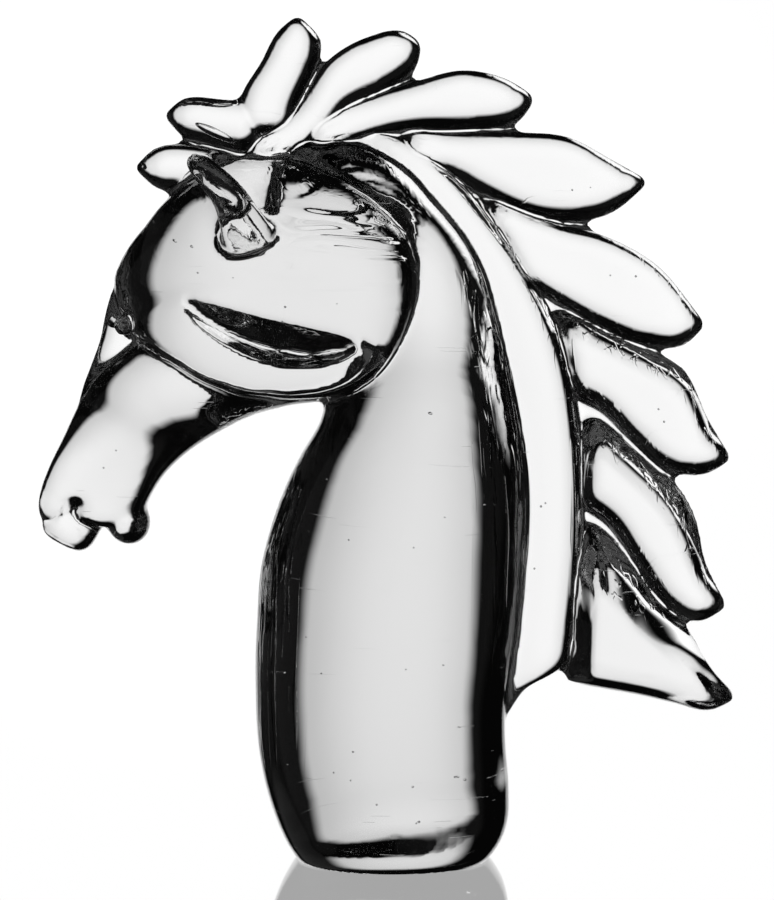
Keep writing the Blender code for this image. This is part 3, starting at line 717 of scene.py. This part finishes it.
def clear_crystal():
    """Clear colourless lead crystal, with the fine cords that hot working leaves in it."""
    glass, tree, shader = crystal_shader("clear_crystal")
    depth = node(tree, "ShaderNodeVolumeAbsorption", None, {"Color": GREY, "Density": GREY_DENSITY})
    tree.links.new(depth.socket, tree.nodes["Material Output"].inputs["Volume"])
    place = node(tree, "ShaderNodeTexCoord", output="Object")
    x, _, z = axes(tree, place)
    facing = node(tree, "ShaderNodeTexCoord", output="Normal")
    steep = abs(axes(tree, facing)[1]).ramp(0.6, 0.92, 1, 0)

    # long drawn streaks down the chest, the nape, and the seam between the neck and the crest
    strands = cords(tree, place, STRAND_GRAIN, 1.0, 0.8)
    chest = x.within(*CHEST_X) * z.within(*CHEST_Z)
    nape = x.ramp(*NAPE_X) * z.within(*NAPE_Z) * steep
    streaks = strands.ramp(0.56, 0.66) * (chest * CHEST_STREAKS + nape * NAPE_STREAKS)
    furthest, level, bend = CREST_LINE
    beside = x - furthest + (z - level) * (z - level) * bend
    seam = beside.within(*SEAM_X) * z.within(*SEAM_Z)
    streaks = streaks + strands.ramp(0.35, 0.65) * seam * SEAM_STREAKS

    # slow swirls on the crown, and folds combed across the top of the cheek
    crown = z.ramp(*CROWN_Z) * steep
    swirls = cords(tree, place, SWIRL_GRAIN, 1.0, 2.2) * crown * CROWN_SWIRLS
    threads = cords(tree, place, THREAD_GRAIN, 1.0, 0.9)
    combed = abs(threads - 0.5) * patch(x, z, COMBED_PATCH)
    folds = threads * patch(x, z, FOLD_PATCH) * CHEEK_FOLDS + combed * COMBED_FOLDS

    scratches = cords(tree, place, SCRATCH_GRAIN, 0.0, 0.0).ramp(0.82, 0.84) * SCRATCHES
    relief = streaks + swirls + folds + scratches
    bumps = node(tree, "ShaderNodeBump", None, {"Height": relief, "Distance": 1.0, "Strength": 1.0})
    tree.links.new(bumps.socket, shader.inputs["Normal"])
    return glass


def bubble_skin():
    """The bright skin of a gas bubble shut in the crystal, faintly uneven."""
    glass, tree, shader = crystal_shader("bubble_skin")
    place = node(tree, "ShaderNodeTexCoord", output="Object")
    dull = cords(tree, place, DULLNESS_GRAIN, 1.0, 0.0) * 0.04
    tree.links.new(dull.socket, shader.inputs["Roughness"])
    return glass


# ---- studio

def window(round_about, height, middle, half, low, high, soft):
    """A softly edged oval opening in the dark, given by its angles."""
    middle, half, low, high = [math.radians(angle) for angle in (middle, half, low, high)]
    across = (round_about - middle) / half
    upright = (height - (low + high) / 2) / ((high - low) / 2)
    far = (across * across + upright * upright).maths("SQRT")
    return far.ramp(1 - soft, 1 + soft, 1, 0)


def soft_studio():
    """Bright fields behind the glass for the front view and the views at an angle, and darkness."""
    world = bpy.data.worlds.new("studio")
    bpy.context.scene.world = world
    world.use_nodes = True
    tree = world.node_tree
    x, y, z = axes(tree, node(tree, "ShaderNodeTexCoord", output="Generated"))
    way = (x.maths("ARCTAN2", y), z.maths("ARCSINE"))

    glow, rest = FIELD_GLOW
    back = window(*way, *BACK_FIELD) * (window(*way, *BACK_MIDDLE) * glow + rest)
    sides = [window(*way, *field) * bright for field, bright in SIDE_FIELDS]
    bounced = node(tree, "ShaderNodeLightPath", output="Glossy Depth")
    through = node(tree, "ShaderNodeLightPath", output="Transmission Depth")
    straight = bounced.ramp(0.2, 0.8, 1, 0) * through.ramp(0.2, 0.8)
    side = sides[0].highest(sides[1]).highest(sides[2]) * (straight * (1 - STRAY) + STRAY)
    light = back.highest(side).highest(DARKNESS)
    seen = node(tree, "ShaderNodeLightPath", output="Is Camera Ray")
    gloss = node(tree, "ShaderNodeLightPath", output="Is Glossy Ray")
    mirror = node(tree, "ShaderNodeLightPath", output="Is Singular Ray")
    seen = seen.highest(gloss - mirror)
    backdrop = tree.nodes["Background"]
    backdrop.inputs["Color"].default_value = (1, 1, 1, 1)
    tree.links.new(light.highest(seen).socket, backdrop.inputs["Strength"])


def glossy_table():
    """The white table top under the foot, glossy enough to mirror it softly."""
    bpy.ops.mesh.primitive_plane_add(size=8, location=(0, 0, -0.4 * MM))
    table = bpy.context.object
    table.name = "table"
    paint = bpy.data.materials.new("white_table")
    paint.use_nodes = True
    tree = paint.node_tree
    tree.nodes.clear()
    white = node(tree, "ShaderNodeEmission", None, {"Strength": 1.0})
    gloss = node(tree, "ShaderNodeBsdfGlossy", None, {"Color": (1, 1, 1, 1), "Roughness": 0.03})
    both = node(tree, "ShaderNodeMixShader", None, (TABLE_GLOSS, white, gloss))
    node(tree, "ShaderNodeOutputMaterial", None, (both,))
    table.data.materials.append(paint)
    for kind in ("diffuse", "glossy", "transmission", "shadow", "volume_scatter"):
        setattr(table, "visible_" + kind, False)


def camera():
    view = bpy.data.cameras.new("camera")
    made = bpy.data.objects.new("camera", view)
    bpy.context.scene.collection.objects.link(made)
    aim = Vector((0.0, 0.0, AIM_HEIGHT - GRINDING * MM))
    made.location = (0.0, -CAMERA_BACK, CAMERA_HEIGHT - GRINDING * MM)
    sight = aim - made.location
    made.rotation_euler = sight.to_track_quat("-Z", "Y").to_euler()
    view.sensor_fit = "HORIZONTAL"
    view.sensor_width = 36.0
    view.lens = view.sensor_width * sight.length / VIEW_WIDTH
    bpy.context.scene.camera = made


def rendering():
    """Plain colours, and enough bounces for light to find its way out of the glass."""
    scene = bpy.context.scene
    scene.view_settings.view_transform = "Standard"
    scene.cycles.max_bounces = 16
    scene.cycles.transmission_bounces = 16
    scene.cycles.glossy_bounces = 16


head = horse_head()
head.data.materials.clear()
head.data.materials.append(clear_crystal())
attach(head, "root")
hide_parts("horse_head")
bubbles = seeds()
bubbles.data.materials.clear()
bubbles.data.materials.append(bubble_skin())
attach(bubbles, "root")
soft_studio()
glossy_table()
camera()
rendering()
